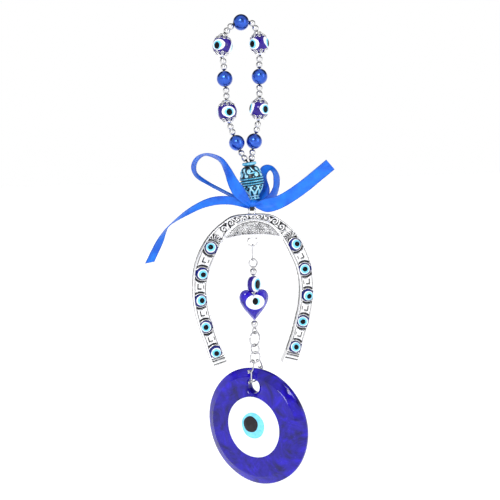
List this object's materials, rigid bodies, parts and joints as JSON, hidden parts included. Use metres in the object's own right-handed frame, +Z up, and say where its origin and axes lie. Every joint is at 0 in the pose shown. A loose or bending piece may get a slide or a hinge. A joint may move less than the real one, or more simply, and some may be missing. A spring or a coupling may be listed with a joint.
{
  "type": "evil eye ornament",
  "caption": "Hanging charm: a beaded cord loop with a ribbon bow over a metal horseshoe set with eye beads, a heart and eye bead pendant inside it and a round glass eye disc on a chain sling",
  "frame": {"origin": "The point under the top pearl of the beaded loop where a nail or hook bears.", "axes": "+Z is up, along which the ornament hangs. +X is to the right as the horseshoe's decorated face is seen. The decorated face looks along -Y, and the horseshoe's plain back faces +Y."},
  "size_m": [0.0937, 0.0438, 0.2321],
  "materials": {
    "cord": "waxed black cord",
    "pearl": "blue pearlescent",
    "eye_glass": "cobalt glass with white, light blue and black eyes",
    "silver": "polished silver plate",
    "carved_barrel": "turquoise relief over black",
    "ribbon": "royal blue satin",
    "cast_silver": "bright antique silver plate with blackened recesses",
    "resin_eye": "resin eye bead",
    "chain_wire": "bright wire",
    "heart_glass": "cobalt glass",
    "disc_glass": "cobalt glass",
    "eye_white": "opaque white glass",
    "eye_iris": "opaque light blue glass",
    "eye_pupil": "opaque black glass"
  },
  "bodies": {
    "beaded_loop": {"hanging_cord": "cord", "ribbon_bow": "ribbon", "spacers_left_1": "silver", "spacers_left_2": "silver", "spacers_left_3": "silver", "spacers_left_4": "silver", "spacers_left_5": "silver", "spacers_right_1": "silver", "spacers_right_2": "silver", "spacers_right_3": "silver", "spacers_right_4": "silver", "spacers_right_5": "silver"},
    "pearl_top": {"pearl_top": "pearl"},
    "pearl_left_low": {"pearl_left_low": "pearl"},
    "pearl_left_mid": {"pearl_left_mid": "pearl"},
    "pearl_right_low": {"pearl_right_low": "pearl"},
    "pearl_right_mid": {"pearl_right_mid": "pearl"},
    "eye_bead_left_low": {"eye_bead_left_low": "eye_glass", "cap_above_left_low": "silver", "cap_below_left_low": "silver"},
    "eye_bead_left_top": {"eye_bead_left_top": "eye_glass", "cap_above_left_top": "silver", "cap_below_left_top": "silver"},
    "eye_bead_right_low": {"eye_bead_right_low": "eye_glass", "cap_above_right_low": "silver", "cap_below_right_low": "silver"},
    "eye_bead_right_top": {"eye_bead_right_top": "eye_glass", "cap_above_right_top": "silver", "cap_below_right_top": "silver"},
    "barrel_bead": {"barrel_bead": "carved_barrel"},
    "cord_tie": {"cord_tie": "cord"},
    "horseshoe": {"horseshoe": "cast_silver", "shoe_eye_left_1": "resin_eye", "shoe_eye_left_2": "resin_eye", "shoe_eye_left_3": "resin_eye", "shoe_eye_left_4": "resin_eye", "shoe_eye_left_5": "resin_eye", "shoe_eye_right_1": "resin_eye", "shoe_eye_right_2": "resin_eye", "shoe_eye_right_3": "resin_eye", "shoe_eye_right_4": "resin_eye", "shoe_eye_right_5": "resin_eye"},
    "top_link": {"top_link": "chain_wire"},
    "eye_pin": {"eye_pin": "chain_wire"},
    "pin_ball_top": {"pin_ball_top": "silver"},
    "flat_eye_bead": {"flat_eye_bead": "eye_glass"},
    "heart_bead": {"heart_bead": "heart_glass"},
    "pin_ball_bottom": {"pin_ball_bottom": "silver"},
    "jump_ring_large": {"jump_ring_large": "chain_wire"},
    "jump_ring_middle": {"jump_ring_middle": "chain_wire"},
    "jump_ring_sling": {"jump_ring_sling": "chain_wire"},
    "disc_sling": {"sling_link_front_high": "chain_wire", "sling_link_front_low": "chain_wire", "sling_link_through": "chain_wire", "sling_link_back_low": "chain_wire", "sling_link_back_high": "chain_wire"},
    "glass_disc": {"glass_disc": "disc_glass", "disc_eye_white": "eye_white", "disc_eye_iris": "eye_iris", "disc_eye_pupil": "eye_pupil"}
  },
  "joints": [
    {"name": "pearl_top_spin", "type": "hinge", "parent": "beaded_loop", "child": "pearl_top", "pos_m": [-0.00318, 0, 0.00389], "axis": [0.9889, 0, 0.1483], "continuous": true},
    {"name": "pearl_left_low_spin", "type": "hinge", "parent": "beaded_loop", "child": "pearl_left_low", "pos_m": [-0.00666, 0, -0.05346], "axis": [-0.3804, 0, 0.9248], "continuous": true},
    {"name": "pearl_left_mid_spin", "type": "hinge", "parent": "beaded_loop", "child": "pearl_left_mid", "pos_m": [-0.01181, 0, -0.02279], "axis": [-0.0759, 0, 0.9971], "continuous": true},
    {"name": "pearl_right_low_spin", "type": "hinge", "parent": "beaded_loop", "child": "pearl_right_low", "pos_m": [0.00193, 0, -0.05287], "axis": [-0.2299, 0, -0.9732], "continuous": true},
    {"name": "pearl_right_mid_spin", "type": "hinge", "parent": "beaded_loop", "child": "pearl_right_mid", "pos_m": [0.0053, 0, -0.02184], "axis": [-0.021, 0, -0.9998], "continuous": true},
    {"name": "eye_bead_left_low_spin", "type": "hinge", "parent": "beaded_loop", "child": "eye_bead_left_low", "pos_m": [-0.01102, 0, -0.03846], "axis": [-0.1075, 0, 0.9942], "continuous": true},
    {"name": "eye_bead_left_top_spin", "type": "hinge", "parent": "beaded_loop", "child": "eye_bead_left_top", "pos_m": [-0.01256, 0, -0.00714], "axis": [0.1429, 0, 0.9897], "continuous": true},
    {"name": "eye_bead_right_low_spin", "type": "hinge", "parent": "beaded_loop", "child": "eye_bead_right_low", "pos_m": [0.00482, 0, -0.0375], "axis": [-0.0752, 0, -0.9972], "continuous": true},
    {"name": "eye_bead_right_top_spin", "type": "hinge", "parent": "beaded_loop", "child": "eye_bead_right_top", "pos_m": [0.00535, 0, -0.00619], "axis": [0.1124, 0, -0.9937], "continuous": true},
    {"name": "barrel_bead_spin", "type": "hinge", "parent": "beaded_loop", "child": "barrel_bead", "pos_m": [0.00025, 0, -0.07205], "axis": [-0.1233, 0, 0.9924], "continuous": true},
    {"name": "tie_swing", "type": "hinge", "parent": "beaded_loop", "child": "cord_tie", "pos_m": [0, 0, -0.08344], "axis": [1, 0, 0], "range_deg": [-15, 15]},
    {"name": "horseshoe_sway", "type": "hinge", "parent": "cord_tie", "child": "horseshoe", "pos_m": [0, 0, -0.08654], "axis": [0, 1, 0], "range_deg": [-8, 8]},
    {"name": "top_link_swing", "type": "hinge", "parent": "horseshoe", "child": "top_link", "pos_m": [0, 0, -0.1045], "axis": [1, 0, 0], "range_deg": [-30, 30]},
    {"name": "pendant_swing", "type": "hinge", "parent": "top_link", "child": "eye_pin", "pos_m": [0, 0, -0.11144], "axis": [0, 1, 0], "range_deg": [-6, 6]},
    {"name": "pin_ball_top_spin", "type": "hinge", "parent": "eye_pin", "child": "pin_ball_top", "pos_m": [0, 0, -0.1169], "axis": [0, 0, 1], "continuous": true},
    {"name": "pin_ball_bottom_spin", "type": "hinge", "parent": "eye_pin", "child": "pin_ball_bottom", "pos_m": [0, 0, -0.1431], "axis": [0, 0, 1], "continuous": true},
    {"name": "heart_bead_spin", "type": "hinge", "parent": "eye_pin", "child": "heart_bead", "pos_m": [0, 0, -0.1332], "axis": [0, 0, 1], "continuous": true},
    {"name": "flat_eye_bead_turn", "type": "hinge", "parent": "heart_bead", "child": "flat_eye_bead", "pos_m": [0, 0, -0.12305], "axis": [0, 0, 1], "range_deg": [-6, 8]},
    {"name": "large_ring_swing", "type": "hinge", "parent": "eye_pin", "child": "jump_ring_large", "pos_m": [0, 0, -0.148], "axis": [0.6157, -0.788, 0], "range_deg": [-12, 12]},
    {"name": "middle_ring_swing", "type": "hinge", "parent": "jump_ring_large", "child": "jump_ring_middle", "pos_m": [0, 0, -0.15428], "axis": [0.788, 0.6157, 0], "range_deg": [-15, 15]},
    {"name": "sling_ring_swing", "type": "hinge", "parent": "jump_ring_middle", "child": "jump_ring_sling", "pos_m": [0, 0, -0.15804], "axis": [0.7071, -0.7071, 0], "range_deg": [-15, 15]},
    {"name": "sling_swing", "type": "hinge", "parent": "jump_ring_sling", "child": "disc_sling", "pos_m": [0, 0, -0.162], "axis": [0.9397, 0.342, 0], "range_deg": [-12, 12]},
    {"name": "disc_sway", "type": "hinge", "parent": "disc_sling", "child": "glass_disc", "pos_m": [0, 0, -0.17123], "axis": [-0.7071, -0.7071, 0], "range_deg": [-10, 10]}
  ]
}
